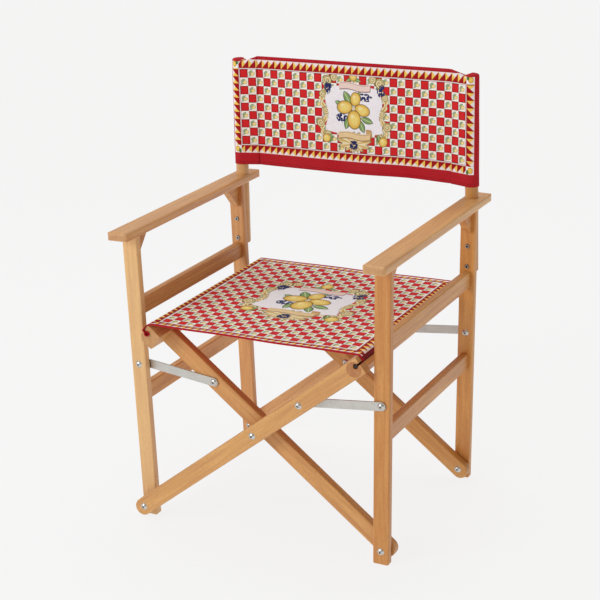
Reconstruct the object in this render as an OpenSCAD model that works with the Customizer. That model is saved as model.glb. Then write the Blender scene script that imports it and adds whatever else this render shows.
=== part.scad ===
// Folding director chair: two side frames, two crossed leg pairs, folding stays,
// a canvas seat hung between two seat rails and a canvas back sleeved on two posts.
// X runs across the chair, the chair faces -Y, and Z is up from the floor.

/* [Side frames] */
// Distance between the left and right bottom pivots
pivot_span = 517.6; // [480:0.2:560]
// Height of the bottom pivots above the floor
pivot_h = 26.5; // [24:0.5:32]
// Outward lean of each side frame, in degrees
splay = 1; // [0:0.1:2]
// Width of a leg across the chair
leg_w = 33; // [30:0.5:36]
// Thickness of a leg front to back
leg_t = 15.5; // [14:0.5:18]
// Front leg to rear leg, front face to front face
leg_pitch = 419.5; // [400:0.5:430]
// Radius of the rounded long edges of the timber
edge_r = 3; // [1:0.5:4]

/* [Armrests] */
// Height of the armrest's underside above the bottom pivot
arm_seat_h = 567.2; // [550:0.1:580]
// Length of an armrest
arm_len = 534.5; // [520:0.5:545]
// Width of an armrest
arm_w = 45.6; // [42:0.2:48]
// Thickness of an armrest
arm_t = 17.2; // [15:0.2:20]
// How far an armrest reaches in front of the front leg
arm_reach = 41; // [30:1:50]

/* [Side rails and braces] */
// Thickness of the side rails and corner braces across the chair
rail_t = 15.6; // [14:0.2:18]
// Height of each side rail
rail_h = 35; // [30:1:38]
// Underside of the upper side rail above the bottom pivot
upper_rail_h = 401.5; // [395:0.5:410]
// Underside of the lower side rail above the bottom pivot
lower_rail_h = 222; // [215:0.5:230]
// Size of the rear corner brace along the armrest and down the leg
rear_brace = 47; // [40:1:52]
// Size of the front corner brace along the armrest and down the leg
front_brace = 38; // [30:1:44]

/* [Back posts] */
// Diameter of a back post
post_d = 27; // [25:0.5:28]
// Lower end of a back post above the bottom pivot
post_low_h = 429.5; // [425:0.5:435]
// Upper end of a back post above the bottom pivot
post_high_h = 833.8; // [820:0.1:845]
// Inward lean of a back post against its leg, in degrees
post_lean = 1.6; // [0:0.1:3]
// Height of the lower post bolt above the bottom pivot
post_bolt_h = 446.5; // [444:0.5:450]
// Distance between the two post bolts
post_bolt_pitch = 42.8; // [38:0.2:46]

/* [Crossed legs] */
// Rise from the bottom pivot to the crossing
cross_rise = 203; // [195:0.5:210]
// Width of a crossed leg
x_w = 35.4; // [32:0.2:37]
// Thickness of a crossed leg
x_t = 19.5; // [17:0.5:21]
// How far a crossed leg reaches past its bottom pivot
x_toe = 22; // [20:0.5:24]
// Running gap between neighbouring layers of timber
layer_gap = 3.5; // [3.2:0.1:4]

/* [Seat] */
// Crossing to the centre of a seat rail, along the crossed leg
seat_rail_reach = 277; // [270:0.5:284]
// Depth of a seat rail's section along the crossed leg
seat_rail_u = 33; // [31:0.5:35]
// How far the left seat rail reaches in front of the front leg
seat_rail_front = 25.4; // [23:0.2:27]
// Diameter of the bore that holds the canvas hem and its rod
keyhole_d = 10.8; // [10:0.2:12]
// Diameter of a hem rod
hem_rod_d = 7; // [6:0.2:7.4]
// Thickness of the canvas
canvas_t = 1.4; // [1.2:0.1:1.4]
// How far the seat canvas reaches in front of the front leg's front face
seat_front = 18.5; // [14:0.5:22]
// Depth of the seat canvas, front edge to back edge
seat_depth = 460; // [450:1:464]

/* [Backrest canvas] */
// Lower edge of the back canvas above the floor
back_low_z = 635; // [625:1:645]
// Upper edge of the back canvas above the floor
back_high_z = 869; // [855:1:872]
// Centre of a back post to the seam that closes its sleeve
sleeve_seam = 44; // [36:1:50]
// How far the sleeve's top edge drops from its seam to the post
sleeve_drop = 11.5; // [6:1:16]

/* [Stays and fasteners] */
// Crossing to the stay screw, along the crossed leg
stay_reach = 130.5; // [126:0.5:134]
// Height of the stay bolt above the bottom pivot
stay_h = 302; // [298:0.5:306]
// Width of a stay
stay_w = 17.5; // [15:0.5:19]
// Thickness of a stay
stay_t = 3; // [2.5:0.1:3]
// Diameter of the pivot bolts
bolt_d = 6; // [5:0.5:7]
// Diameter of the bolt heads
head_d = 14.5; // [12:0.5:16]

/* [Hidden] */
$fn = 48;

run = 0.05;                // clearance of a bolt or tenon in its bore, on the radius
face_gap = 0.1;            // gap between faces that turn past each other
soft_gap = 0.3;            // gap between the canvas and the timber
tenon = 10;                // depth of a side rail's tenon
head_h = 3.6;              // height of a pan head
nut_h = 5;                 // height of a cap nut's hexagon
post_bolt_d = 5;           // diameter of the bolts that hold a back post

// Depth positions, with the armrests centred on Y = 0
front_y = arm_reach - arm_len / 2;
rear_y = front_y + leg_pitch;
post_y = rear_y + leg_t + post_d / 2 - 1;
outer_front_y = front_y - layer_gap - x_t;
inner_front_y = front_y + leg_t + layer_gap;
inner_rear_y = rear_y - layer_gap - x_t;
outer_rear_y = rear_y + leg_t + layer_gap;

// Side view of the crossed legs: each axis runs from its pivot to its seat rail
pivot_x = pivot_span / 2;
cross_z = pivot_h + cross_rise;
cross_arm = norm([pivot_x, cross_rise]);
lean = atan2(cross_rise, pivot_x);
rail_s = cross_arm + seat_rail_reach;
stay_s = cross_arm + stay_reach;
end_u = seat_rail_u / 2 + 1.5;
keyhole = [8.6, 3.4];      // bore centre from the rail's centre: along the leg, and across it
tenon_r = 15.4;
tenon_u = 2.2;
slot_w = 4.2;

// Frame end of a stay, its crossed-leg end and the stay between them
frame_pin = [pivot_x + stay_h * sin(splay), pivot_h + stay_h * cos(splay)];
leg_pin = [stay_reach * cos(lean), cross_z + stay_reach * sin(lean)];
stay_len = norm(frame_pin - leg_pin);
stay_slope = atan2(frame_pin[1] - leg_pin[1], frame_pin[0] - leg_pin[0]);

beech = "BurlyWood";
metal = "Silver";
cloth = "Crimson";

// ---- Placing ----

// Puts a side frame's own drawing on its bottom pivot: x = 0 on the leg's centre line
module on_frame(side) {
    mirror([side < 0 ? 1 : 0, 0, 0])
        translate([pivot_x, 0, pivot_h])
            rotate([0, splay, 0])
                children();
}

// Puts a crossed leg's own drawing on the chair: X along the leg from its pivot,
// Z across it. The leg that rises to the right is side 1.
module on_leg(side) {
    mirror([side < 0 ? 1 : 0, 0, 0])
        translate([-pivot_x, 0, pivot_h])
            rotate([0, -lean, 0])
                children();
}

// Leans a back post inward about its lower end, in a side frame's own drawing
module lean_post() {
    translate([0, 0, post_low_h])
        rotate([0, -post_lean, 0])
            translate([0, 0, -post_low_h])
                children();
}

// Turns a cylinder's axis from Z to Y, starting at y
module along_y(y) {
    translate([0, y, 0])
        rotate([-90, 0, 0])
            children();
}

// ---- Timber sections ----

// Rectangle w by h with corners of radius r, centred
module round_rect(w, h, r) {
    square([w - 2 * r, h], center = true);
    square([w, h - 2 * r], center = true);
    for (sx = [-1, 1], sy = [-1, 1])
        translate([sx * (w / 2 - r), sy * (h / 2 - r)])
            circle(r);
}

// Upright bar with rounded long edges, from z0 to z1
module upright(w, t, z0, z1) {
    translate([0, 0, z0])
        linear_extrude(z1 - z0)
            round_rect(w, t, edge_r);
}

// Outline that rounds the two lower corners of a foot standing on the floor at x = xc
module foot_outline(xc) {
    r = 4;
    translate([xc - 100, r])
        square([200, 800]);
    translate([xc - leg_w / 2 + r, 0])
        square([leg_w - 2 * r, 2 * r]);
    for (s = [-1, 1])
        translate([xc + s * (leg_w / 2 - r), r])
            circle(r);
}

module cut_bolt(h, y0, y1, r) {
    translate([0, 0, h])
        along_y(y0)
            cylinder(h = y1 - y0, r = r);
}

// ---- Fasteners ----

// Domed head with a cross recess; its underside is at y = 0 and it stands towards -Y
module pan_head(d, h) {
    difference() {
        rotate([90, 0, 0])
            rotate_extrude()
                intersection() {
                    translate([0, -0.001])
                        square([d / 2, h]);
                    translate([0, h - 0.62 * d])
                        circle(0.62 * d);
                }
        for (a = [0, 90])
            rotate([0, a + 20, 0])
                translate([-d * 0.2, -h - 1, -0.8])
                    cube([d * 0.4, 3, 1.6]);
    }
}

// Button head with a hexagon socket
module socket_head(d, h) {
    difference() {
        rotate([90, 0, 0])
            cylinder(h = h, d1 = d, d2 = d * 0.8);
        translate([0, -h - 1, 0])
            rotate([-90, 0, 0])
                cylinder(h = h, d = d * 0.5, $fn = 6);
    }
}

// Cap nut whose flat face is at y = 0, standing towards +Y, with a blind bore
module cap_nut(bore_r) {
    difference() {
        union() {
            along_y(0)
                cylinder(h = nut_h, d = 10, $fn = 6);
            along_y(nut_h - 0.5)
                rotate_extrude()
                    intersection() {
                        square([4, 4]);
                        circle(4);
                    }
        }
        along_y(-1)
            cylinder(h = nut_h + 1, r = bore_r);
    }
}

// Bolt along Y at height h, through timber from y0 to y1: part "bolt" is the bolt with
// its head under y0, and part "nut" is the cap nut on its end
module through_bolt(part, h, y0, y1) {
    translate([0, 0, h])
        if (part == "bolt") {
            translate([0, y0, 0])
                pan_head(head_d, head_h);
            along_y(y0)
                cylinder(h = y1 - y0 + nut_h - 1.2, d = bolt_d);
        } else {
            translate([0, y1, 0])
                cap_nut(bolt_d / 2 + run);
        }
}

module washer(h, y0, y1) {
    translate([0, 0, h])
        along_y(y0)
            difference() {
                cylinder(h = y1 - y0, d = 14);
                translate([0, 0, -1])
                    cylinder(h = y1 - y0 + 2, r = bolt_d / 2 + run);
            }
}

// ---- Side frame ----

// One leg with its foot cut level with the floor; y0 is its front face
module leg_blank(side, y0) {
    intersection() {
        on_frame(side)
            translate([0, y0 + leg_t / 2, 0])
                upright(leg_w, leg_t, -pivot_h - 5, arm_seat_h);
        translate([0, y0 + leg_t + 1, 0])
            rotate([90, 0, 0])
                linear_extrude(leg_t + 2)
                    foot_outline(side * pivot_x);
    }
}

// Mortises for the two side rails, cut tenon deep from face y towards dir
module mortises(y, dir) {
    for (h = [upper_rail_h, lower_rail_h])
        translate([-4, y + (dir < 0 ? -tenon : -1), h + 6])
            cube([8, tenon + 1, rail_h - 12]);
}

module arm_dowel(y0) {
    translate([0, y0 + leg_t / 2, arm_seat_h - 18])
        cylinder(h = 28, d = 8);
}

module front_leg(side) {
    color(beech)
        difference() {
            leg_blank(side, front_y);
            on_frame(side) {
                cut_bolt(0, front_y - 1, front_y + leg_t + 1, bolt_d / 2 + run);
                cut_bolt(stay_h, front_y - 1, front_y + leg_t + 1, bolt_d / 2 + run);
                mortises(front_y + leg_t, -1);
                arm_dowel(front_y);
            }
        }
}

module rear_leg(side) {
    color(beech)
        difference() {
            leg_blank(side, rear_y);
            on_frame(side) {
                cut_bolt(0, rear_y - 1, rear_y + leg_t + 1, bolt_d / 2 + run);
                cut_bolt(stay_h, rear_y - 1, rear_y + leg_t + 1, bolt_d / 2 + run);
                mortises(rear_y, 1);
                arm_dowel(rear_y);
                for (n = [0, 1])
                    cut_bolt(post_bolt_h + n * post_bolt_pitch, rear_y - 1,
                             rear_y + leg_t + 1, post_bolt_d / 2 + run);
            }
        }
}

// Armrest: rounded section, rounded plan and a softened front edge
module armrest(side) {
    y0 = -arm_len / 2;
    zc = arm_seat_h + arm_t / 2;
    color(beech)
        on_frame(side)
            difference() {
                intersection() {
                    translate([0, y0, zc])
                        rotate([-90, 0, 0])
                            linear_extrude(arm_len)
                                round_rect(arm_w, arm_t, 4.5);
                    translate([0, 0, arm_seat_h - 1])
                        linear_extrude(arm_t + 2)
                            round_rect(arm_w, arm_len, 7);
                    translate([-arm_w, 0, zc])
                        rotate([90, 0, 90])
                            linear_extrude(2 * arm_w)
                                round_rect(arm_len, arm_t, 5);
                }
                lean_post()
                    translate([0, post_y, arm_seat_h - 5])
                        cylinder(h = arm_t + 10, r = post_d / 2 + 0.1);
                arm_dowel(front_y);
                arm_dowel(rear_y);
            }
}

module side_rail(side, h) {
    y0 = front_y + leg_t;
    y1 = rear_y;
    color(beech)
        on_frame(side) {
            translate([0, y0, h + rail_h / 2])
                rotate([-90, 0, 0])
                    linear_extrude(y1 - y0)
                        round_rect(rail_t, rail_h, edge_r);
            translate([-4, y0 - tenon, h + 6])
                cube([8, y1 - y0 + 2 * tenon, rail_h - 12]);
        }
}

// Corner brace between a leg's face at y and the armrest; dir points away from the leg
module brace(side, y, dir, size) {
    tip = 7;
    color(beech)
        on_frame(side)
            translate([-rail_t / 2, y, arm_seat_h])
                rotate([90, 0, 90])
                    linear_extrude(rail_t)
                        polygon([[0, 0], [dir * size, 0], [dir * size, -2],
                                 [dir * tip, -size], [0, -size]]);
}

module arm_dowels(side) {
    color(beech)
        on_frame(side) {
            arm_dowel(front_y);
            arm_dowel(rear_y);
        }
}

// Round post with softened ends and a flat where it bears on the rear leg
module back_post(side) {
    r = 3;
    rp = post_d / 2;
    color(beech)
        on_frame(side)
            difference() {
                lean_post()
                    translate([0, post_y, post_low_h])
                        rotate_extrude() {
                            translate([0, r])
                                square([rp, post_high_h - post_low_h - 2 * r]);
                            square([rp - r, post_high_h - post_low_h]);
                            for (z = [r, post_high_h - post_low_h - r])
                                translate([rp - r, z])
                                    circle(r);
                        }
                translate([-20, rear_y + leg_t - 10, post_low_h - 1])
                    cube([40, 10, arm_seat_h - post_low_h + 1]);
                for (n = [0, 1])
                    cut_bolt(post_bolt_h + n * post_bolt_pitch, rear_y + leg_t - 1,
                             post_y + 7, post_bolt_d / 2 + run);
            }
}

module post_bolts(side) {
    color(metal)
        on_frame(side)
            for (n = [0, 1])
                translate([0, rear_y, post_bolt_h + n * post_bolt_pitch]) {
                    socket_head(10, 2.6);
                    along_y(0)
                        cylinder(h = post_y + 6 - rear_y, d = post_bolt_d);
                }
}

// Bottom pivot bolts, or their nuts: each passes the frame's leg and one crossed leg
module pivot_set(part, side) {
    color(metal)
        on_frame(side)
            if (side < 0) {
                through_bolt(part, 0, outer_front_y - face_gap, front_y + leg_t);
                through_bolt(part, 0, rear_y, outer_rear_y + x_t + face_gap);
            } else {
                through_bolt(part, 0, front_y, inner_front_y + x_t + face_gap);
                through_bolt(part, 0, inner_rear_y - face_gap, rear_y + leg_t);
            }
}

module pivot_washers(side) {
    fy = side < 0 ? front_y - layer_gap + face_gap : front_y + leg_t;
    ry = side < 0 ? rear_y + leg_t : rear_y - layer_gap + face_gap;
    color(metal)
        on_frame(side) {
            washer(0, fy, fy + layer_gap - face_gap);
            washer(0, ry, ry + layer_gap - face_gap);
        }
}

// Stay bolts, or their nuts: the left front and right rear stays lie behind the legs,
// the others in front
module stay_set(part, side) {
    behind = layer_gap;
    color(metal)
        on_frame(side)
            if (side < 0) {
                through_bolt(part, stay_h, front_y, front_y + leg_t + behind);
                through_bolt(part, stay_h, rear_y - layer_gap, rear_y + leg_t);
            } else {
                through_bolt(part, stay_h, front_y - layer_gap, front_y + leg_t);
                through_bolt(part, stay_h, rear_y, rear_y + leg_t + behind);
            }
}

// ---- Crossed legs ----

// Rounded section of a crossed leg, extruded along X from s0 to s1
module leg_bar(y0, s0, s1) {
    translate([s0, y0 + x_t / 2, 0])
        rotate([90, 0, 90])
            linear_extrude(s1 - s0)
                round_rect(x_t, x_w, edge_r);
}

// Half-round toe with the same rounded edges, centred on X = s
module leg_toe(y0, s) {
    translate([s, y0 + x_t / 2, 0])
        rotate([-90, 0, 0])
            rotate([0, 0, 90])
                rotate_extrude(angle = 180)
                    intersection() {
                        round_rect(x_w, x_t, edge_r);
                        translate([0, -x_t])
                            square([x_w, 2 * x_t]);
                    }
}

module x_blank(y0, s1) {
    toe_s = x_w / 2 - x_toe;
    leg_bar(y0, toe_s, s1);
    leg_toe(y0, toe_s);
}

// Everything up to X = s1, with that end's upper and lower corners rounded
module round_end(y0, s1) {
    translate([s1 - 100, y0 - 1, 0])
        rotate([-90, 0, 0])
            linear_extrude(x_t + 2) {
                round_rect(200, x_w + 0.2, edge_r);
                translate([-600, 0])
                    square([1100, 100], center = true);
            }
}

module x_bores(y0) {
    for (s = [0, cross_arm, stay_s])
        translate([s, 0, 0])
            cut_bolt(0, y0 - 1, y0 + x_t + 1, bolt_d / 2 + run);
}

// Keyhole: a bore for the rod and hem, and a slot that lets the canvas out past the end
module keyhole_cut(y0, y1) {
    translate([rail_s + keyhole[0], 0, keyhole[1]])
        along_y(y0)
            cylinder(h = y1 - y0, d = keyhole_d);
    translate([rail_s + keyhole[0], y0, keyhole[1] - slot_w / 2])
        cube([30, y1 - y0, slot_w]);
}

// Outer crossed leg: rises to the right, and takes the right seat rail's round tenon
module outer_leg(y0) {
    color(beech)
        difference() {
            on_leg(1)
                intersection() {
                    x_blank(y0, rail_s + end_u + 1);
                    round_end(y0, rail_s + end_u + 1);
                }
            on_leg(1) {
                x_bores(y0);
                translate([rail_s + tenon_u, 0, 0])
                    cut_bolt(0, y0 - 1, y0 + x_t + 1, tenon_r + run);
                keyhole_cut(y0 - 1, y0 + x_t + 1);
            }
        }
}

// Inner crossed leg: rises to the left, and ends in a tenon in the left seat rail
module inner_leg(y0) {
    s1 = rail_s - seat_rail_u / 2;
    color(beech)
        on_leg(-1)
            difference() {
                union() {
                    x_blank(y0, s1);
                    translate([s1 - 1, y0 + 5, -10])
                        cube([13, x_t - 10, 20]);
                }
                x_bores(y0);
            }
}

// Seat rail's section: rounded, with the outer lower corner cut away
module seat_rail_bar(y0, y1) {
    u0 = -seat_rail_u / 2;
    translate([rail_s, y0, 0])
        rotate([-90, 0, 0])
            linear_extrude(y1 - y0)
                intersection() {
                    translate([(u0 + end_u) / 2, 0])
                        round_rect(end_u - u0, x_w, edge_r);
                    polygon([[u0 - 1, -x_w], [end_u + 1, -x_w], [end_u + 1, x_w / 2 - 10],
                             [end_u - 9, x_w / 2 + 1], [u0 - 1, x_w / 2 + 1]]);
                }
}

module right_seat_rail() {
    y0 = outer_front_y + x_t;
    y1 = outer_rear_y;
    color(beech)
        on_leg(1)
            difference() {
                union() {
                    seat_rail_bar(y0, y1);
                    translate([rail_s + tenon_u, 0, 0])
                        cut_bolt(0, outer_front_y, outer_rear_y + x_t, tenon_r);
                }
                keyhole_cut(outer_front_y - 1, outer_rear_y + x_t + 1);
            }
}

module left_seat_rail() {
    y0 = front_y - seat_rail_front;
    y1 = front_y - seat_front + seat_depth + 1.5;
    s1 = rail_s - seat_rail_u / 2;
    color(beech)
        on_leg(-1)
            difference() {
                seat_rail_bar(y0, y1);
                keyhole_cut(y0 - 1, y1 + 1);
                for (y = [inner_front_y, inner_rear_y])
                    translate([s1 - 1, y + 5, -10])
                        cube([13, x_t - 10, 20]);
            }
}

// Crossing bolts, or their nuts, run front to back through both legs of each pair
module crossing_set(part) {
    color(metal)
        on_leg(1)
            translate([cross_arm, 0, 0]) {
                through_bolt(part, 0, outer_front_y, inner_front_y + x_t + face_gap);
                through_bolt(part, 0, inner_rear_y - face_gap, outer_rear_y + x_t);
            }
}

// Bushes that keep the two legs of each pair apart at the crossing
module crossing_bushes() {
    color(metal)
        on_leg(1)
            translate([cross_arm, 0, 0]) {
                washer(0, outer_front_y + x_t, inner_front_y - face_gap);
                washer(0, inner_rear_y + x_t + face_gap, outer_rear_y);
            }
}

// ---- Stays ----

// Flat bar with round ends, drilled at both ends, from the frame pin towards the leg pin
module stay(side, y0) {
    color(metal)
        mirror([side < 0 ? 1 : 0, 0, 0])
            translate([frame_pin[0], y0, frame_pin[1]])
                rotate([0, -stay_slope, 0])
                    rotate([-90, 0, 0])
                        linear_extrude(stay_t)
                            difference() {
                                union() {
                                    translate([-stay_len, -stay_w / 2])
                                        square([stay_len, stay_w]);
                                    for (x = [0, -stay_len])
                                        translate([x, 0])
                                            circle(d = stay_w);
                                }
                                for (x = [0, -stay_len])
                                    translate([x, 0])
                                        circle(bolt_d / 2 + run);
                            }
}

// Puts a screw's own drawing on the crossed-leg end of a stay
module on_leg_pin(side) {
    translate([side * leg_pin[0], 0, leg_pin[1]])
        children();
}

// Screw from y0 into a stay or a leg, ending at y1
module stay_screw(side, y0, y1) {
    color(metal)
        on_leg_pin(side) {
            translate([0, y0, 0])
                pan_head(head_d, head_h);
            along_y(y0)
                cylinder(h = y1 - y0, d = bolt_d);
        }
}

// Threaded insert in a crossed leg, filling its bore from y0 to y1
module stay_insert(side, y0, y1) {
    color(metal)
        on_leg_pin(side)
            along_y(y0)
                difference() {
                    cylinder(h = y1 - y0, d = bolt_d);
                    translate([0, 0, -1])
                        cylinder(h = y1 - y0 - 4, d = bolt_d - 2);
                }
}

stay_gap = (layer_gap - stay_t) / 2;
left_front_stay_y = front_y + leg_t + stay_gap;
left_rear_stay_y = rear_y - layer_gap + stay_gap;
right_front_stay_y = front_y - layer_gap + stay_gap;
right_rear_stay_y = rear_y + leg_t + stay_gap;

// ---- Canvas ----

// A point of the right rail's section, u along the leg and w across it, in the XZ plane
function rail_point(u, w) = [
    -pivot_x + (rail_s + u) * cos(lean) - w * sin(lean),
    pivot_h + (rail_s + u) * sin(lean) + w * cos(lean)
];

// Canvas round one rail: out of the keyhole, up the rail's end face and over its corner
module seat_half() {
    out0 = end_u + soft_gap + 1;
    out1 = out0 + canvas_t;
    corner = rail_point(end_u + 1 - edge_r, x_w / 2 - edge_r);
    r0 = edge_r + soft_gap;
    r1 = r0 + canvas_t;
    arc = [for (i = [0:5]) lean + (90 - lean) * i / 5];
    a = keyhole[1] - canvas_t / 2;
    b = keyhole[1] + canvas_t / 2;
    polygon(concat(
        [rail_point(keyhole[0] + 4, a), rail_point(out1, a)],
        [for (i = [0:5]) corner + r1 * [cos(arc[i]), sin(arc[i])]],
        [[0, corner[1] + r1], [0, corner[1] + r0]],
        [for (i = [5:-1:0]) corner + r0 * [cos(arc[i]), sin(arc[i])]],
        [rail_point(out0, b), rail_point(keyhole[0] + 4, b)]
    ));
    translate(rail_point(keyhole[0], keyhole[1]))
        circle(hem_rod_d / 2 + canvas_t);
}

module seat_canvas() {
    y0 = front_y - seat_front;
    y1 = y0 + seat_depth;
    color(cloth)
        translate([0, y1, 0])
            rotate([90, 0, 0])
                linear_extrude(y1 - y0)
                    difference() {
                        union() {
                            seat_half();
                            mirror([1, 0])
                                seat_half();
                        }
                        for (s = [-1, 1])
                            translate([s * rail_point(keyhole[0], 0)[0]
                                       - s * keyhole[1] * sin(lean),
                                       rail_point(keyhole[0], keyhole[1])[1]])
                                circle(hem_rod_d / 2 + 0.1);
                    }
}

module hem_rod(side) {
    proud = 3;
    y0 = front_y - seat_front - proud;
    y1 = y0 + seat_depth + 2 * proud;
    color("Black")
        on_leg(side)
            translate([rail_s + keyhole[0], 0, keyhole[1]])
                along_y(y0)
                    cylinder(h = y1 - y0, d = hem_rod_d);
}

// Pocket over a post: a round wall of radius r from z = 0, closed by a rounded top at h,
// and a wedge from the wall to the seam, whose top edge slants down to the wall
module sleeve_form(r, seam, h, seam_h) {
    edge = 3 + r - post_d / 2;
    a = acos(r / seam);
    rotate_extrude() {
        square([r - edge, h]);
        square([r, h - edge]);
        translate([r - edge, h - edge])
            circle(edge);
    }
    intersection() {
        linear_extrude(seam_h + 1)
            polygon([[0, 0], [-r * cos(a), -r * sin(a)], [-seam, 0], [-r * cos(a), r * sin(a)]]);
        translate([0, r, 0])
            rotate([90, 0, 0])
                linear_extrude(2 * r)
                    polygon([[-sleeve_seam - 1, 0], [0, 0], [0, seam_h - sleeve_drop],
                             [-12, seam_h - sleeve_drop], [-sleeve_seam, seam_h],
                             [-sleeve_seam - 1, seam_h]]);
    }
}

// Canvas sleeve over the upper part of a back post: two layers that meet in a seam
module back_sleeve(side) {
    z0 = back_low_z - pivot_h;
    r0 = post_d / 2 + soft_gap;
    r1 = r0 + canvas_t;
    top = post_high_h + soft_gap - z0;
    seam_h = back_high_z - back_low_z + sleeve_seam * sin(post_lean - splay);
    color(cloth)
        on_frame(side)
            lean_post()
                translate([0, post_y, z0])
                    difference() {
                        sleeve_form(r1, sleeve_seam, top + canvas_t, seam_h);
                        translate([0, 0, -canvas_t])
                            sleeve_form(r0, sleeve_seam * r0 / r1, top + canvas_t, seam_h);
                    }
}

// Distance from the chair's middle plane to a post's centre line at height z
function post_x(z) = pivot_x + (z - pivot_h) * sin(splay)
    - (z - pivot_h - post_low_h) * sin(post_lean);

// Canvas panel between the two seams, in the plane of the posts' centres
module back_panel() {
    clear = sleeve_seam + soft_gap;
    x0 = post_x(back_low_z) - clear;
    x1 = post_x(back_high_z) - clear;
    color(cloth)
        translate([0, post_y + canvas_t / 2, 0])
            rotate([90, 0, 0])
                linear_extrude(canvas_t)
                    polygon([[-x0, back_low_z], [x0, back_low_z],
                             [x1, back_high_z], [-x1, back_high_z]]);
}

// ---- Nodes ----

front_leg(-1);  // left_front_leg
rear_leg(-1);  // left_rear_leg
armrest(-1);  // left_armrest
side_rail(-1, upper_rail_h);  // left_upper_rail
side_rail(-1, lower_rail_h);  // left_lower_rail
brace(-1, front_y + leg_t, 1, front_brace);  // left_front_brace
brace(-1, rear_y, -1, rear_brace);  // left_rear_brace
arm_dowels(-1);  // left_arm_dowels
back_post(-1);  // left_back_post
post_bolts(-1);  // left_post_bolts
pivot_set("bolt", -1);  // left_pivot_bolts
pivot_set("nut", -1);  // left_pivot_nuts
pivot_washers(-1);  // left_pivot_washers
stay_set("bolt", -1);  // left_stay_bolts
stay_set("nut", -1);  // left_stay_nuts
back_sleeve(-1);  // left_back_sleeve
front_leg(1);  // right_front_leg
rear_leg(1);  // right_rear_leg
armrest(1);  // right_armrest
side_rail(1, upper_rail_h);  // right_upper_rail
side_rail(1, lower_rail_h);  // right_lower_rail
brace(1, front_y + leg_t, 1, front_brace);  // right_front_brace
brace(1, rear_y, -1, rear_brace);  // right_rear_brace
arm_dowels(1);  // right_arm_dowels
back_post(1);  // right_back_post
post_bolts(1);  // right_post_bolts
pivot_set("bolt", 1);  // right_pivot_bolts
pivot_set("nut", 1);  // right_pivot_nuts
pivot_washers(1);  // right_pivot_washers
stay_set("bolt", 1);  // right_stay_bolts
stay_set("nut", 1);  // right_stay_nuts
back_sleeve(1);  // right_back_sleeve
back_panel();
outer_leg(outer_front_y);  // outer_front_leg
outer_leg(outer_rear_y);  // outer_rear_leg
right_seat_rail();
crossing_set("bolt");  // crossing_bolts
crossing_set("nut");  // crossing_nuts
crossing_bushes();
stay_screw(1, outer_front_y, outer_front_y + x_t);  // outer_stay_screw
stay_insert(1, outer_rear_y, outer_rear_y + x_t);  // outer_stay_insert
hem_rod(1);  // right_hem_rod
seat_canvas();
inner_leg(inner_front_y);  // inner_front_leg
inner_leg(inner_rear_y);  // inner_rear_leg
left_seat_rail();
stay_screw(-1, inner_rear_y, inner_rear_y + x_t);  // inner_stay_screw
stay_insert(-1, inner_front_y, inner_front_y + x_t);  // inner_stay_insert
hem_rod(-1);  // left_hem_rod
stay(-1, left_front_stay_y);  // left_front_stay
stay(-1, left_rear_stay_y);  // left_rear_stay
stay_screw(-1, left_front_stay_y, left_front_stay_y + stay_t);  // left_stay_screw
stay(1, right_front_stay_y);  // right_front_stay
stay(1, right_rear_stay_y);  // right_rear_stay
stay_screw(1, right_rear_stay_y, right_rear_stay_y + stay_t);  // right_stay_screw
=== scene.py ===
"""Looks of the folding director chair: timber, metal and two printed canvases."""
import math

import bpy
import numpy as np
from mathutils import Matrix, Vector


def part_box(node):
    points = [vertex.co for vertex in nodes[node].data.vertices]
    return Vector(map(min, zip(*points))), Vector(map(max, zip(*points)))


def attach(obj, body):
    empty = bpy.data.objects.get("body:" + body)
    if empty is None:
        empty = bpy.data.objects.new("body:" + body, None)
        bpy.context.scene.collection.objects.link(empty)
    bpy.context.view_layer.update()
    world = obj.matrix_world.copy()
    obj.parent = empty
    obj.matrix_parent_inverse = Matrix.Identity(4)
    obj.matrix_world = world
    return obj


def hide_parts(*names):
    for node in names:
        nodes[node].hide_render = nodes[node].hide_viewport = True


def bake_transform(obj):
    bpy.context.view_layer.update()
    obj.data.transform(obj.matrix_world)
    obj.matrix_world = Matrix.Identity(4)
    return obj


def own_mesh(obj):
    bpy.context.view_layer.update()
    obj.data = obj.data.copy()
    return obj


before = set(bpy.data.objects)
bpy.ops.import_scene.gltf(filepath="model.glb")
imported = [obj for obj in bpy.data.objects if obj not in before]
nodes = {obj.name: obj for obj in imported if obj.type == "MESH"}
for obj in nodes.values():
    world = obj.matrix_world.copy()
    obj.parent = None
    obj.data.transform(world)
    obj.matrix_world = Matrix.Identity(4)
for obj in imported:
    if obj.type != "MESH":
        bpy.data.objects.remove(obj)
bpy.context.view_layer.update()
scene = bpy.context.scene
MM = 0.001

QUARTER = math.pi / 2

# The crossed legs' slope, as in the CAD: from a bottom pivot to the crossing, in millimetres
PIVOT_X, CROSS_RISE = 258.8, 203.0
LEAN = math.atan2(CROSS_RISE, PIVOT_X)


# ---------------------------------------------------------------- node graphs

def srgb(code):
    """A linear colour from a hex code."""
    parts = [int(code[i:i + 2], 16) / 255 for i in (0, 2, 4)]
    return [p / 12.92 if p <= 0.04045 else ((p + 0.055) / 1.055) ** 2.4 for p in parts] + [1]


class Num:
    """A number in a node graph, so that masks read as arithmetic."""

    def __init__(self, graph, socket):
        self.graph, self.socket = graph, socket

    def __add__(self, other):
        return self.graph.math("ADD", self, other)

    def __sub__(self, other):
        return self.graph.math("SUBTRACT", self, other)

    def __rsub__(self, other):
        return self.graph.math("SUBTRACT", other, self)

    def __mul__(self, other):
        return self.graph.math("MULTIPLY", self, other)

    def __truediv__(self, other):
        return self.graph.math("DIVIDE", self, other)

    def __abs__(self):
        return self.graph.math("ABSOLUTE", self)

    __radd__, __rmul__ = __add__, __mul__


# Sockets of the Mix node when it mixes colours
MIX_MASK, MIX_UNDER, MIX_OVER, MIX_RESULT = 0, 6, 7, 2


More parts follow.
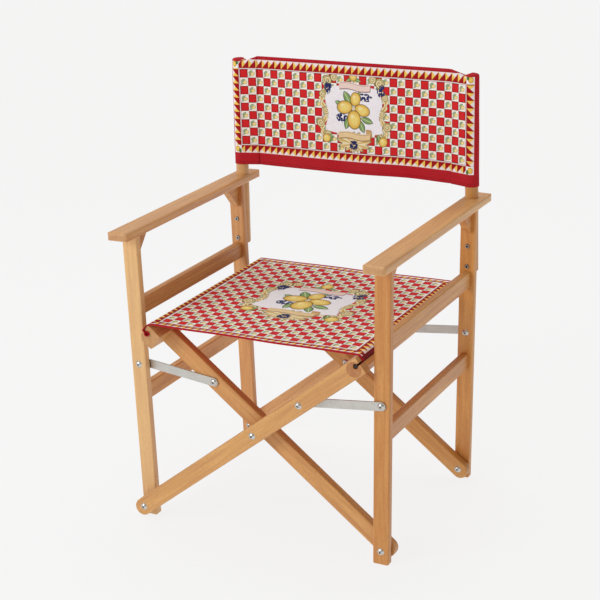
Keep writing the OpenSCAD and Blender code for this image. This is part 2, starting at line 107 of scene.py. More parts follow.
class Graph:
    """Makes shader nodes. colour is the picture painted so far."""

    def __init__(self, tree):
        self.tree = tree
        self.colour = None
        self.shader = None

    def node(self, kind, **settings):
        made = self.tree.nodes.new("ShaderNode" + kind)
        for key, value in settings.items():
            setattr(made, key, value)
        return made

    def plug(self, socket, value):
        if isinstance(value, Num):
            value = value.socket
        if isinstance(value, bpy.types.NodeSocket):
            self.tree.links.new(value, socket)
        elif value is not None:
            socket.default_value = value

    def math(self, operation, a, b=None, c=None, clamp=False):
        made = self.node("Math", operation=operation, use_clamp=clamp)
        for socket, value in zip(made.inputs, (a, b, c)):
            self.plug(socket, value)
        return Num(self, made.outputs[0])

    def vec(self, x, y, z=0.0):
        made = self.node("CombineXYZ")
        for socket, value in zip(made.inputs, (x, y, z)):
            self.plug(socket, value)
        return made.outputs[0]

    def split(self, vector):
        made = self.node("SeparateXYZ")
        self.plug(made.inputs[0], vector)
        return [Num(self, o) for o in made.outputs]

    def place(self, vector, at=(0, 0, 0), turn=(0, 0, 0), scale=(1, 1, 1), kind="TEXTURE"):
        made = self.node("Mapping", vector_type=kind)
        self.plug(made.inputs["Vector"], vector)
        made.inputs["Location"].default_value = at
        made.inputs["Rotation"].default_value = turn
        made.inputs["Scale"].default_value = scale
        return made.outputs[0]

    def length(self, vector):
        made = self.node("VectorMath", operation="LENGTH")
        self.plug(made.inputs[0], vector)
        return Num(self, made.outputs["Value"])

    def below(self, value, edge, soft):
        """1 where value is below edge, with an edge that is soft wide."""
        return self.math("MULTIPLY_ADD", value, -1 / soft, edge / soft + 0.5, clamp=True)

    def above(self, value, edge, soft):
        """1 where value is above edge, with an edge that is soft wide."""
        return self.math("MULTIPLY_ADD", value, 1 / soft, 0.5 - edge / soft, clamp=True)

    def noise(self, vector, scale, detail=2.0, rough=0.5, distortion=0.0):
        made = self.node("TexNoise")
        self.plug(made.inputs["Vector"], vector)
        for key, value in (("Scale", scale), ("Detail", detail), ("Roughness", rough),
                           ("Distortion", distortion)):
            made.inputs[key].default_value = value
        return Num(self, made.outputs[0])

    def mix(self, mask, under, over):
        made = self.node("Mix", data_type="RGBA", blend_type="MIX")
        self.plug(made.inputs[MIX_MASK], mask)
        self.plug(made.inputs[MIX_UNDER], under)
        self.plug(made.inputs[MIX_OVER], over)
        return made.outputs[MIX_RESULT]

    def largest(self, first, *others):
        for other in others:
            first = self.math("MAXIMUM", first, other)
        return first

    def paint(self, mask, over):
        """Lays a colour over the picture so far."""
        over = srgb(over) if isinstance(over, str) else over
        self.colour = self.mix(mask, self.colour, over)

    def oval(self, vector, at, radii, turn=0.0):
        """Distance from an ellipse's centre, 1 on its edge."""
        turned = (0, 0, math.radians(turn))
        return self.length(self.place(vector, (*at, 0), turned, (*radii, 1)))


def material(name):
    """A new material and its graph."""
    made = bpy.data.materials.new(name)
    made.use_nodes = True
    graph = Graph(made.node_tree)
    graph.shader = made.node_tree.nodes["Principled BSDF"]
    return made, graph


def settle(graph, bump=None, strength=0.3, distance=0.0005, **sockets):
    """Puts values or links on the shader's sockets, and a bump on its normal."""
    for key, value in sockets.items():
        graph.plug(graph.shader.inputs[key.replace("_", " ").title()], value)
    if bump is not None:
        made = graph.node("Bump")
        made.inputs["Strength"].default_value = strength
        made.inputs["Distance"].default_value = distance
        graph.plug(made.inputs["Height"], bump)
        graph.plug(graph.shader.inputs["Normal"], made.outputs[0])


# ---------------------------------------------------------------- timber and metal

BEECH_LIGHT, BEECH_MID, BEECH_DARK = "dfa252", "cd8a42", "a65c28"
SAPWOOD, HEARTWOOD = "f2d3a0", "c98630"

# How far each board leans to pale sapwood, or to golden heartwood below zero
TONE_SHARE = 0.9
TONE = {"left_front_leg": 0.42, "left_armrest": 0.22, "right_armrest": 0.24,
        "outer_rear_leg": 0.20, "outer_front_leg": 0.12, "inner_front_leg": 0.06,
        "left_back_post": 0.30, "left_seat_rail": 0.15, "left_rear_leg": 0.10,
        "right_front_leg": -0.35, "right_rear_leg": -0.25, "right_back_post": -0.1,
        "inner_rear_leg": -0.2}


def beech(name, turn, seed):
    """Beech with its grain along a piece: turn brings the grain's direction onto X."""
    made, g = material("beech_" + name)
    coords = g.node("TexCoord")
    # Every board is cut from another place in the wood
    along = g.place(coords.outputs["Object"], turn=turn, kind="POINT",
                    at=(seed * 1.37 % 3, seed * 0.71 % 2, seed * 0.43 % 2))
    broad = g.noise(g.place(along, scale=(2.2, 16, 16), kind="POINT"), 1.0, 3.0, 0.55, 0.6)
    streak = g.noise(g.place(along, scale=(6, 130, 130), kind="POINT"), 1.0, 4.0, 0.6, 0.3)
    fibre = g.noise(g.place(along, scale=(40, 1400, 1400), kind="POINT"), 1.0, 2.0, 0.6)
    fleck = g.noise(g.place(along, scale=(130, 1500, 1500), kind="POINT"), 1.0, 0.0)
    g.colour = srgb(BEECH_MID)
    g.paint(g.above(broad, 0.5, 0.5), BEECH_LIGHT)
    g.paint(g.above(streak, 0.56, 0.3) * 0.55, BEECH_DARK)
    g.paint(g.below(streak, 0.40, 0.25) * 0.35, "e6b473")
    g.paint(g.above(fleck, 0.66, 0.06) * 0.45, "9a5f35")
    g.paint(g.above(fibre, 0.5, 0.5) * 0.12, "a86c3e")
    # End grain shows darker, with the year rings' arcs
    facing = g.node("Mapping", vector_type="VECTOR")
    g.plug(facing.inputs["Vector"], coords.outputs["Normal"])
    facing.inputs["Rotation"].default_value = turn
    end = g.above(abs(g.split(facing.outputs[0])[0]), 0.85, 0.1)
    rings = g.node("TexWave", wave_type="RINGS", rings_direction="X", wave_profile="SAW")
    g.plug(rings.inputs["Vector"], g.place(along, at=(0, 0.05, 0.03 + seed % 7 * 0.01),
                                           kind="POINT"))
    for key, value in (("Scale", 95), ("Distortion", 2.0), ("Detail", 2.0)):
        rings.inputs[key].default_value = value
    ring = Num(g, rings.outputs[1])
    g.paint(end * 0.45, "a8683a")
    g.paint(end * ring * 0.35, "7d4a28")
    tone = TONE.get(name, 0.0)
    g.paint(abs(tone) * TONE_SHARE, SAPWOOD if tone > 0 else HEARTWOOD)
    tint = g.node("HueSaturation")
    tint.inputs["Hue"].default_value = 0.5 + (seed * 0.37 % 1 - 0.5) * 0.008
    tint.inputs["Value"].default_value = 0.97 + (seed * 0.61 % 1) * 0.07
    g.plug(tint.inputs["Color"], g.colour)
    settle(g, bump=fibre * 0.5 + streak, strength=0.12, distance=0.0004,
           base_color=tint.outputs[0], roughness=0.40 + fibre * 0.14,
           coat_weight=0.30, coat_roughness=0.30)
    return made


def metal(name, code, rough, turn=(0, 0, 0), brushed=False, hollow=0.56):
    """Plated or brushed metal, with painted shade where less than hollow of its surroundings
    is open.
    """
    made, g = material(name)
    coords = g.node("TexCoord")
    along = g.place(coords.outputs["Object"], turn=turn, kind="POINT")
    scale = (8, 1600, 1600) if brushed else (500, 500, 500)
    grit = g.noise(g.place(along, scale=scale, kind="POINT"), 1.0, 3.0, 0.6)
    wear = g.noise(along, 60.0, 3.0, 0.6)
    g.colour = srgb(code)
    g.paint(g.above(grit, 0.5, 0.6) * (0.35 if brushed else 0.10), "8d8c88")
    g.paint(g.above(wear, 0.55, 0.3) * 0.15, "8d8b86")
    # Painted shade: where little of the surroundings is open, as in recesses and sockets, the
    # colour goes dark
    open_share = g.node("AmbientOcclusion", samples=8, inside=False)
    open_share.inputs["Distance"].default_value = 0.004
    painted_recess_shade = g.below(Num(g, open_share.outputs["AO"]), hollow, 0.3)
    g.colour = g.mix(painted_recess_shade, g.colour, srgb("16150f"))
    settle(g, bump=grit, strength=0.25 if brushed else 0.06, distance=0.0002,
           base_color=g.colour, roughness=rough + grit * 0.18, metallic=0.92)
    return made


def plastic(name):
    """Matt black plastic."""
    made, g = material(name)
    coords = g.node("TexCoord").outputs["Object"]
    grain = g.noise(coords, 900.0, 2.0)
    smear = g.noise(coords, 70.0, 3.0)
    g.colour = srgb("141313")
    g.paint(g.above(smear, 0.5, 0.4) * 0.4, "2a2726")
    settle(g, bump=grain, strength=0.15, distance=0.0002, base_color=g.colour,
           roughness=0.42 + grain * 0.15)
    return made


# Turns that bring a piece's length onto X
ALONG_Y = (0, 0, -QUARTER)
ALONG_Z = (0, QUARTER, 0)
OUTER_SLOPE = (0, LEAN, 0)
INNER_SLOPE = (0, -LEAN, 0)
GRAIN = {
    "front_leg": ALONG_Z, "rear_leg": ALONG_Z, "back_post": ALONG_Z, "arm_dowels": ALONG_Z,
    "armrest": ALONG_Y, "upper_rail": ALONG_Y, "lower_rail": ALONG_Y,
    "front_brace": ALONG_Y, "rear_brace": ALONG_Y, "seat_rail": ALONG_Y,
}
STAY_SLOPE = math.radians(11)


def finish_cad_nodes():
    """Puts a material on every CAD node; the cloth ones are hidden later."""
    steel = metal("zinc_steel", "d4d3cf", 0.20)
    # The post bolts' steel is a little darker and gets more painted shade in its sunk
    # recesses
    shaded_sunk_steel = metal("shaded_sunk_steel", "b9b8b4", 0.24, hollow=0.80)
    rod = plastic("black_plastic")
    for seed, name in enumerate(sorted(nodes)):
        node = nodes[name]
        kind = name.split("_", 1)[1] if name.startswith(("left_", "right_")) else name
        if kind in GRAIN:
            made = beech(name, GRAIN[kind], seed)
        elif name.startswith("outer_") and name.endswith("_leg"):
            made = beech(name, OUTER_SLOPE, seed)
        elif name.startswith("inner_") and name.endswith("_leg"):
            made = beech(name, INNER_SLOPE, seed)
        elif name.endswith("_stay"):
            slope = STAY_SLOPE if name.startswith("left") else -STAY_SLOPE
            made = metal("brushed_" + name, "d6d3cd", 0.34, (0, slope, 0), True)
        elif name.endswith("hem_rod"):
            made = rod
        elif "post_bolt" in name:
            made = shaded_sunk_steel
        else:
            made = steel
        node.data.materials.clear()
        node.data.materials.append(made)


# ---------------------------------------------------------------- the printed pattern

# Distances in the pictures are in millimetres on the cloth
CRIMSON, DEEP_RED, RED = "bd1a26", "a80610", "dc2327"
CREAM, WHITE, YELLOW, PINK_WHITE = "fffaf2", "ffffff", "fdd463", "fbf0f2"
SMALL_LEMON = ("6f6636", "efc860", "fdf0a8")
BIG_LEMON = ("66531c", "e9b03a", "fde98c")
SHINY_FROM = 8  # a lemon wider than this has pores and a highlight
OLIVE, SCROLL_CREAM, SCROLL_GOLD = "7a7434", "f4e6bb", "d8ab4e"
DARK_LINE = "5c1216"
BACK_CHECK, SEAT_CHECK = (17.1, 17.95), (17.25, 18.0)
TRIANGLE_ACROSS, TRIANGLE_UP = 14.8, 15.3
SOFT = 0.8  # how far one printed colour runs into the next
WEAVE_PITCH = 0.9
STITCH_PITCH = 3.2


def lemon(g, vector, at, radii, turn=0.0, soft=0.10, tints=BIG_LEMON):
    """A lemon: dark outline, golden rim and a pale middle."""
    r = g.oval(vector, at, radii, turn)
    g.paint(g.below(r, 1.08, soft), tints[0])
    g.paint(g.below(r, 0.96, soft), tints[1])
    g.paint(g.below(r, 0.76, 0.6) * 0.9, tints[2])
    if radii[0] <= SHINY_FROM:
        return
    pores = g.noise(g.place(vector, scale=(0.55, 0.55, 1), kind="POINT"), 1.0, 2.0)
    g.paint(g.below(r, 0.92, 0.2) * g.above(pores, 0.56, 0.2) * 0.35, "c98f22")
    shine = g.oval(vector, (at[0] - radii[0] * 0.3, at[1] + radii[1] * 0.35),
                   (radii[0] * 0.32, radii[1] * 0.28), turn)
    g.paint(g.below(shine, 0.8, 0.6) * 0.7, "fff3bf")


def leaf(g, vector, at, radii, turn, soft=0.16, edge="2f4d28", fill="85a866"):
    """A pointed leaf with a dark outline and a pale midrib."""
    x, y, _ = g.split(g.place(vector, (*at, 0), (0, 0, math.radians(turn)), (*radii, 1)))
    side = abs(y)
    d = g.math("MULTIPLY_ADD", x, x, side)
    g.paint(g.below(d, 1.0, soft), edge)
    g.paint(g.below(d, 0.78, soft), fill)
    g.paint(g.below(d, 0.78, soft) * g.below(side, 0.10, 0.12), "d3e0ae")


def curl(g, vector, at, radius, hand):
    """A volute: a cream spiral with thin olive and gold lines."""
    x, y, _ = g.split(g.place(vector, (*at, 0), (0, 0, 0), (radius, radius, 1)))
    r = g.length(g.vec(x, y))
    angle = g.math("ARCTAN2", y, x * hand) / math.tau
    arm = g.math("FRACT", r * 1.9 - angle)
    disc = g.below(r, 1.0, 0.12)
    g.paint(disc, SCROLL_CREAM)
    g.paint(disc * g.below(arm, 0.24, 0.12), OLIVE)
    g.paint(disc * g.below(abs(arm - 0.45), 0.12, 0.12) * 0.8, SCROLL_GOLD)
    g.paint(g.below(abs(r - 1.0), 0.07, 0.08), OLIVE)


def bar(g, vector, at, half, turn, soft=1.0):
    """1 inside a turned ribbon with a slight wave."""
    x, y, _ = g.split(g.place(vector, (*at, 0), (0, 0, math.radians(turn))))
    y = y + g.math("SINE", x * 0.11) * 1.6
    return g.below(abs(x), half[0], soft) * g.below(abs(y), half[1], soft)


def scroll_frame(g, at):
    """Wavy bands left and right, curls on them, and the white panel between."""
    x, y, _ = g.split(at)
    side = abs(x)
    mirrored = g.vec(side, y)
    wave = g.math("SINE", y * 0.105) * 5.0
    ridge = g.math("SINE", y * 0.42) * 1.8
    body = abs(side - 67.5 - wave)
    tall = g.below(abs(y + 4), 60, 6)
    for width, code in ((5.6, OLIVE), (4.6, SCROLL_CREAM)):
        g.paint(g.below(body - ridge, width, 1.2) * tall, code)
    g.paint(g.below(body - ridge * 0.5, 1.3, 1.2) * tall, SCROLL_GOLD)
    for cx, cy, r, hand in ((59, 56, 10, 1), (71, 27, 7, -1), (63, -7, 8, 1),
                            (76, -34, 9, -1), (60, -58, 9, 1), (44, 63, 8, -1)):
        curl(g, mirrored, (cx, cy), r, hand)
    sway = g.math("SINE", y * 0.105) * 3.5
    bulge = abs(y + 4) + side * side * 0.0018
    g.paint(g.below(side - sway, 61, 2.0) * g.below(bulge, 52, 2.0), "fbf8fd")


def acanthus(g, at):
    """A fan of cream leaves below the panel."""
    down = g.place(at, (0, -74, 0))
    ax, ay, _ = g.split(down)
    lobes = abs(g.math("SINE", g.math("ARCTAN2", ay, ax) * 7.0)) * 0.30 + 0.72
    fan = g.oval(down, (0, 4), (40, 22)) / lobes
    g.paint(g.below(fan, 1.0, 0.14), "8a7434")
    g.paint(g.below(fan, 0.90, 0.14), "f4e7bf")
    g.paint(g.above(lobes, 0.96, 0.05) * g.below(fan, 0.85, 0.14), "dcb769")


def berries(g, at):
    """Five bunches of small navy dots."""
    cells = g.node("TexVoronoi", feature="F1", voronoi_dimensions="2D")
    g.plug(cells.inputs["Vector"], at)
    cells.inputs["Scale"].default_value = 0.21
    cells.inputs["Randomness"].default_value = 0.8
    dot = Num(g, cells.outputs["Distance"])
    ragged = (g.noise(at, 0.13, 1.0) - 0.5) * 1.1
    bunches = g.largest(*[g.below(g.oval(at, spot, radii) + ragged, 1.0, 0.1)
                          for spot, radii in (((26, 25), (13, 9)), ((-27, -20), (13, 10)),
                                              ((-59, 41), (9, 13)), ((62, 40), (9, 13)),
                                              ((-1, -77), (10, 10)))])
    g.paint(bunches * g.below(dot, 0.56, 0.08), "141a45")
    g.paint(bunches * g.below(dot, 0.24, 0.2) * 0.7, "4a55a8")


def fruit(g, at):
    """Leaves, and the lemons over them."""
    for spot, radii, turn in (((-14, 22), (16, 8), 118), ((30, -23), (15, 7), -18),
                              ((-15, -31), (14, 7), -105), ((18, -36), (15, 7), -68),
                              ((-34, 10), (9, 5), 160), ((12, 30), (8, 4), 60),
                              ((-55, -66), (12, 5), 70), ((58, -62), (12, 5), 110),
                              ((-8, 60), (9, 4), 200), ((9, 60), (9, 4), -20)):
        leaf(g, at, spot, radii, turn)
    for spot, radii, turn in (((4.5, 20), (11, 14), -8), ((-20, 2), (17, 13), 8),
                              ((19.5, -2.5), (16.5, 12), -14), ((1, -23), (14.5, 19), 2),
                              ((0, 68), (8.5, 10), 0), ((-63, -66), (9, 8.5), 30),
                              ((66, -66), (9, 10), -20)):
        lemon(g, at, spot, radii, turn)
    heart = g.oval(at, (0, 0), (4.2, 4.2))
    for radius, code in ((1.0, "6d5f2a"), (0.8, "f7f1e0"), (0.35, "d89a2a")):
        g.paint(g.below(heart, radius, 0.3), code)


def ribbons(g, at):
    """Plain ribbons above and below, and the lower one's fold."""
    for (cx, cy), (wide, high), turn, code, edge in (
            ((3, 46), (35, 7.0), -3, "f5dcd2", "6b2b30"),
            ((34, -50), (6, 8), 8, "d6ad72", "7a4d26"),
            ((1, -57), (36, 6.5), -2, "efd3a2", "8a5a2c")):
        g.paint(bar(g, at, (cx + 1, cy - 1.6), (wide, high), turn), edge)
        g.paint(bar(g, at, (cx, cy), (wide, high), turn), code)
        g.paint(bar(g, at, (cx, cy + high * 0.7), (wide * 0.96, 0.6), turn) * 0.5, edge)


def medallion_group():
    """The picture in the middle: lemons in a white panel with a scroll frame."""
    tree = bpy.data.node_groups.new("medallion", "ShaderNodeTree")
    tree.interface.new_socket("Vector", in_out="INPUT", socket_type="NodeSocketVector")
    tree.interface.new_socket("Ground", in_out="INPUT", socket_type="NodeSocketColor")
    tree.interface.new_socket("Color", in_out="OUTPUT", socket_type="NodeSocketColor")
    g = Graph(tree)
    at, g.colour = tree.nodes.new("NodeGroupInput").outputs[:2]
    for part in (scroll_frame, acanthus, berries, fruit, ribbons):
        part(g, at)
    g.plug(tree.nodes.new("NodeGroupOutput").inputs[0], g.colour)


def triangles(g, along, height, pitch, where):
    """Leaning triangles in a band: along runs clockwise, height goes 0 to 1 outwards."""
    t = g.math("FRACT", along / pitch)
    pair = g.mix(g.below(t + height, 1.0, 0.12), srgb(PINK_WHITE), srgb(YELLOW))
    g.paint(where, g.mix(g.above(height - t, 0.0, 0.12), srgb(DEEP_RED), pair))


def checks(g, x, y, size, origin):
    """Red and cream squares, with a lemon and leaves in every cream one."""
    cx, cy = (x - origin[0]) / size[0], (y - origin[1]) / size[1]
    fx, fy = g.math("FLOOR", cx), g.math("FLOOR", cy)
    lx = (cx - fx - 0.5) * size[0]
    ly = (cy - fy - 0.5) * size[1]
    parity = g.math("PINGPONG", fx + fy + 1, 1.0)
    red = g.above(parity, 0.5, 0.2)
    cell = g.vec(lx, ly)
    g.colour = srgb(CREAM)
    leaf(g, cell, (-2.2, 3.4), (5.6, 2.3), 28, 0.3, "4d6b45", "94ad7c")
    leaf(g, cell, (-3.8, -2.4), (4.6, 2.1), 100, 0.3, "4d6b45", "94ad7c")
    lemon(g, cell, (1.9, -1.2), (4.3, 3.4), 25, 0.2, SMALL_LEMON)
    g.paint(g.below(g.oval(cell, (-6.0, -6.2), (1.0, 1.0)), 1.0, 0.3), "3a3a44")
    border = g.math("MAXIMUM", abs(lx) / size[0], abs(ly) / size[1])
    motif = g.colour
    plain = g.mix(g.above(border, 0.415, 0.08), srgb(RED), srgb("8c1018"))
    g.colour = g.mix(red, motif, plain)


def cloth_finish(g, x, y):
    """A plain weave, faded patches, uneven yarns and a soft sheen, over the picture."""
    spot = g.vec(x, y)
    fade = g.noise(spot, 0.012, 3.0, 0.6)
    weft = g.noise(g.place(spot, scale=(0.06, 1.2, 1), kind="POINT"), 1.0, 2.0)
    warp = g.noise(g.place(spot, scale=(1.2, 0.06, 1), kind="POINT"), 1.0, 2.0)
    across = g.math("SINE", x * (math.tau / WEAVE_PITCH))
    threads = across * g.math("SINE", y * (math.tau / WEAVE_PITCH))
    g.paint(g.above(fade, 0.5, 0.5) * 0.012, "ffffff")
    g.paint(g.above(weft + warp, 1.05, 0.3) * 0.10, "2a0a0a")
    g.paint(g.below(threads, -0.3, 1.2) * 0.10, "200606")
    settle(g, bump=threads * 0.5 + weft + warp, strength=0.35, distance=0.0004,
           base_color=g.colour, roughness=0.82 + weft * 0.1)
    g.shader.inputs["Sheen Weight"].default_value = 0.03
    g.shader.inputs["Sheen Roughness"].default_value = 0.5
    g.shader.inputs["Specular IOR Level"].default_value = 0.12


def stitch(g, along, distance):
    """A row of stitches where distance is 0."""
    dash = g.above(g.math("FRACT", along / STITCH_PITCH), 0.25, 0.12)
    g.paint(g.below(abs(distance), 0.45, 0.4) * dash * 0.8, "6e0a14")


def start_cloth(name):
    """A material, its graph, and the place on the cloth from the print map."""
    made, g = material(name)
    uv = g.node("UVMap", uv_map="print")
    x, y, _ = g.split(uv.outputs[0])
    return made, g, x, y


def add_medallion(g, x, y, centre, scale):
    """Lays the medallion over the picture, scaled about its centre."""
    made = g.node("Group")
    made.node_tree = bpy.data.node_groups["medallion"]
    spot = g.vec((x - centre[0]) / scale[0], (y - centre[1]) / scale[1])
    g.plug(made.inputs[0], spot)
    g.plug(made.inputs[1], g.colour)
    g.colour = made.outputs[0]


def back_print():
    """The back's picture. x runs across from the middle, y is the height off the floor."""
    made, g, x, y = start_cloth("back_print")
    side = abs(x)
    checks(g, x, y, BACK_CHECK, (-256.5, 680.0))
    add_medallion(g, x, y, (4.0, 773.0), (1, 1))
    top = g.above(y, 843.6, SOFT)
    low = g.below(y, 677.6, SOFT)
    out = g.above(side, 258.8, SOFT)
    # A white line between two dark ones, then the triangles
    edge = g.largest(y - 841.2, 680.0 - y, side - 256.4)
    for distance, code in ((0.0, "701820"), (0.7, "f7edf0"), (2.9, DARK_LINE)):
        g.paint(g.above(edge, distance, 0.6), code)
    triangles(g, 0 - y * g.math("SIGN", x), (side - 259.5) / 16.0, TRIANGLE_UP, out)
    triangles(g, x, (y - 844.5) / 17.0, TRIANGLE_ACROSS, top)
    triangles(g, 0 - x, (677.0 - y) / 16.0, TRIANGLE_ACROSS, low)
    # A small lemon in every corner
    corner = out * g.largest(top, low)
    g.paint(corner, WHITE)
    upper = g.vec(side - 267.5, abs(y - 760.8) - 91.5)
    for spot, radii, soft, code in (((0.5, 0), (5.4, 6.4), 0.2, "d99a2a"),
                                    ((0.5, 0), (3.8, 4.8), 0.4, "f6d665"),
                                    ((-5.5, 4.0), (3.0, 5.0), 0.3, "4f7f3a")):
        g.paint(corner * g.below(g.oval(upper, spot, radii), 1.0, soft), code)
    # Plain crimson outside the picture and on the sleeves' domes
    dome = g.above(y, 858.0, SOFT) * g.above(side, 250.0, SOFT)
    plain = g.largest(g.above(y, 861.8, SOFT), g.below(y, 661.0, SOFT),
                      g.above(side, 275.5, SOFT), dome)
    g.paint(plain, CRIMSON)
    for height in (863.4, 641.5):
        stitch(g, x, y - height)
    cloth_finish(g, x, y)
    return made


def seat_print():
    """The seat's picture. x runs across from the middle, y from front to back."""
    made, g, x, y = start_cloth("seat_print")
    side = abs(x)
    mid = (SEAT_Y[0] + SEAT_Y[1]) / 2
    half = (SEAT_Y[1] - SEAT_Y[0]) / 2
    away = abs(y - mid)
    checks(g, x, y, SEAT_CHECK, (-207.0, mid - 207.0))
    add_medallion(g, x, y, (-3.0, 3.0), (1.44, 1.33))
    g.paint(g.largest(g.above(side, 206.6, SOFT), g.above(away, 206.6, SOFT)), "fbf3f3")
    g.paint(g.largest(g.above(side, 209.8, SOFT), g.above(away, 210.0, SOFT)), DARK_LINE)
    triangles(g, x * g.math("SIGN", y - mid), (away - 211.2) / 12.5, TRIANGLE_ACROSS,
              g.above(away, 211.2, SOFT))
    triangles(g, 0 - y * g.math("SIGN", x), (side - 211.0) / 17.0, TRIANGLE_UP,
              g.above(side, 211.0, SOFT) * g.below(away, 210.6, SOFT))
    # Painted shade: the plain crimson cloth past the stripes, down round the rails to the
    # rods, is painted a darker red
    g.paint(g.above(side, 228.0, SOFT), "7d0c17")
    g.paint(g.above(away, half - SEAT_HEM, SOFT), CRIMSON)
    stitch(g, x, away - (half - 5.0))
    cloth_finish(g, x, y)
    return made


def plain_canvas(name, code):
    """The cloths' plain reverse."""
    made, g, x, y = start_cloth(name)
    g.colour = srgb(code)
    g.paint(g.above(g.noise(g.vec(x, y), 0.03, 3.0), 0.5, 0.4) * 0.25, "b51a28")
    cloth_finish(g, x, y)
    return made


# ---------------------------------------------------------------- cloth meshes

def cloth_mesh(name, points, thick, uvs, front, back, flat_top=False):
    """A thin closed sheet about a grid of points: rows run up, columns run across.

    uvs gives every point's place on the print. Layer 0 is the printed face, in the front
    material; layer 1 and the rim are the reverse. flat_top is for a sheet whose top row
    is a line, where the normals have no direction.
    """
    grid = np.array(points, float)
    rows, cols = grid.shape[:2]
    across = np.gradient(grid, axis=1)
    up = np.gradient(grid, axis=0)
    normal = np.cross(across, up)
    size = np.linalg.norm(normal, axis=2, keepdims=True)
    normal = np.where(size > 1e-9, normal / np.maximum(size, 1e-9), np.array([0, 0, 1.0]))
    if flat_top:
        normal[-1] = (0, 0, 1)
    half = np.broadcast_to(np.asarray(thick, float), (rows, cols))[..., None] / 2
    outer, inner = grid + normal * half, grid - normal * half
    verts = np.concatenate([outer.reshape(-1, 3), inner.reshape(-1, 3)]) * MM
    count = rows * cols

    def index(i, j, layer):
        return layer * count + i * cols + j

    quads = []
    top, end = rows - 1, cols - 1
    for i in range(top):
        for j in range(end):
            quads.append([(i, j, 0), (i, j + 1, 0), (i + 1, j + 1, 0), (i + 1, j, 0)])
            quads.append([(i, j, 1), (i + 1, j, 1), (i + 1, j + 1, 1), (i, j + 1, 1)])
    for j in range(end):
        quads.append([(0, j, 1), (0, j + 1, 1), (0, j + 1, 0), (0, j, 0)])
        quads.append([(top, j, 0), (top, j + 1, 0), (top, j + 1, 1), (top, j, 1)])
    for i in range(top):
        quads.append([(i, 0, 0), (i + 1, 0, 0), (i + 1, 0, 1), (i, 0, 1)])
        quads.append([(i, end, 1), (i + 1, end, 1), (i + 1, end, 0), (i, end, 0)])
    faces = [[index(*point) for point in quad] for quad in quads]
    kinds = [int(any(layer for _, _, layer in quad)) for quad in quads]
    mesh = bpy.data.meshes.new(name)
    mesh.from_pydata([tuple(v) for v in verts], [], faces)
    places = [c for quad in quads for i, j, _ in quad for c in uvs[i][j]]
    mesh.uv_layers.new(name="print").data.foreach_set("uv", places)
    mesh.materials.append(front)
    mesh.materials.append(back)
    mesh.polygons.foreach_set("material_index", kinds)
    mesh.polygons.foreach_set("use_smooth", [True] * len(quads))
    mesh.update()
    made = bpy.data.objects.new(name, mesh)
    scene.collection.objects.link(made)
    return made


def post_axis(side):
    """Two points of a post's centre line, low and high, in millimetres."""
    co = np.array([v.co for v in nodes[side + "_back_post"].data.vertices]) / MM
    low = co[co[:, 2] < co[:, 2].min() + 3.5]
    high = co[co[:, 2] > co[:, 2].max() - 3.5]
    return [np.array([(p[:, 0].min() + p[:, 0].max()) / 2,
                      (p[:, 1].min() + p[:, 1].max()) / 2, p[:, 2].mean()])
            for p in (low, high)]


SIDES = ("left", "right")
POST_AXIS = {side: post_axis(side) for side in SIDES}
BACK_Z = [v / MM for v in (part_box("back_panel")[0].z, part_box("back_panel")[1].z)]
BACK_Y = (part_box("back_panel")[0].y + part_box("back_panel")[1].y) / 2 / MM
SEAT_Y = [v / MM for v in (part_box("seat_canvas")[0].y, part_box("seat_canvas")[1].y)]

# Sizes of the cloths, in millimetres
CLOTH = 1.3            # thickness
HEM_STEP = 0.6         # a hem's thickness ends within this

SEAM = 44.0            # from a post's centre to the sleeve's seam
SEAM_GAP = 1.25        # half the space between a sleeve's two layers at its seam
SLEEVE_R = 14.5
SLEEVE_STRAIGHT = 840  # height where a sleeve's dome begins
DOME, DOME_POWER = 5.5, 0.6
SLEEVE_TOP_X = [-SEAM, -14, -7, -2, 20]
SLEEVE_TOP = [869.0, 858.0, 861.0, 863.2, 863.2]

TUCK = 18.0            # how far the panel goes into a sleeve's seam
TUCK_SLOPE_Z = 800     # above this the tucked part slopes down
TOP_HEM, LOW_HEM = 7.0, 8.0
RIPPLE_REACH = 90      # ripples end this far from a sleeve
HEM_LIFT, LIFT_X, LIFT_WIDTH = 3.4, 125, 75

SEAT_SAG = 3.2
SEAT_SKEW = 5.5
SEAT_HEM = 6
HEM_SLIDE = 9.0        # how far the left hem's front end goes forward
SLIDE_FROM, SLIDE_OVER = 212, 18
SEAT_FLAT = 218        # from the middle along the cloth to its edge
SEAT_EDGE = 221        # from the middle to the cloth's outermost point
SEAT_POINTS = 43       # points from the middle to the edge
RAIL_OUT, RAIL_UP = 11.4, 11.3  # from the hem rod's centre to the cloth on the rail
EDGE_R, SLOT_R, ROD_R = 4.0, 1.6, 4.45  # bends at the edge, at the slot, round the rod


def axis_x(side, z):
    """Where a post's centre line is at height z."""
    low, high = POST_AXIS[side]
    return low[0] + (high[0] - low[0]) * (z - low[2]) / (high[2] - low[2])


def sleeve_path():
    """The sleeve's section about the post: seam, front, outside, back, seam.

    Gives its points, the line that the dome closes to, and the distance to every point.
    """
    tangent = math.acos(SLEEVE_R / SEAM)
    start = np.array([-SEAM, -SEAM_GAP])
    angles = np.linspace(math.pi + tangent, 3 * math.pi - tangent, 37)
    arc = [np.array([math.cos(a), math.sin(a)]) * SLEEVE_R for a in angles]
    line = [start + (arc[0] - start) * t for t in np.linspace(0, 1, 14)[:-1]]
    mirror = [p * np.array([1, -1]) for p in reversed(line)]
    path = line + arc + mirror
    # The dome closes to the middle line, and round the post to its centre
    spine = []
    for k, p in enumerate(path):
        x = p[0]
        if len(line) <= k < len(line) + len(arc):
            turned = abs(math.atan2(p[1], p[0]))
            blend = min(1.0, (math.pi - tangent - turned) / 0.9)
            x = max(x, -SLEEVE_R ** 2 / SEAM) * (1 - blend)
        spine.append(np.array([x, 0.0]))
    steps = [0.0] + [float(np.linalg.norm(b - a)) for a, b in zip(path, path[1:])]
    return path, spine, np.cumsum(steps)


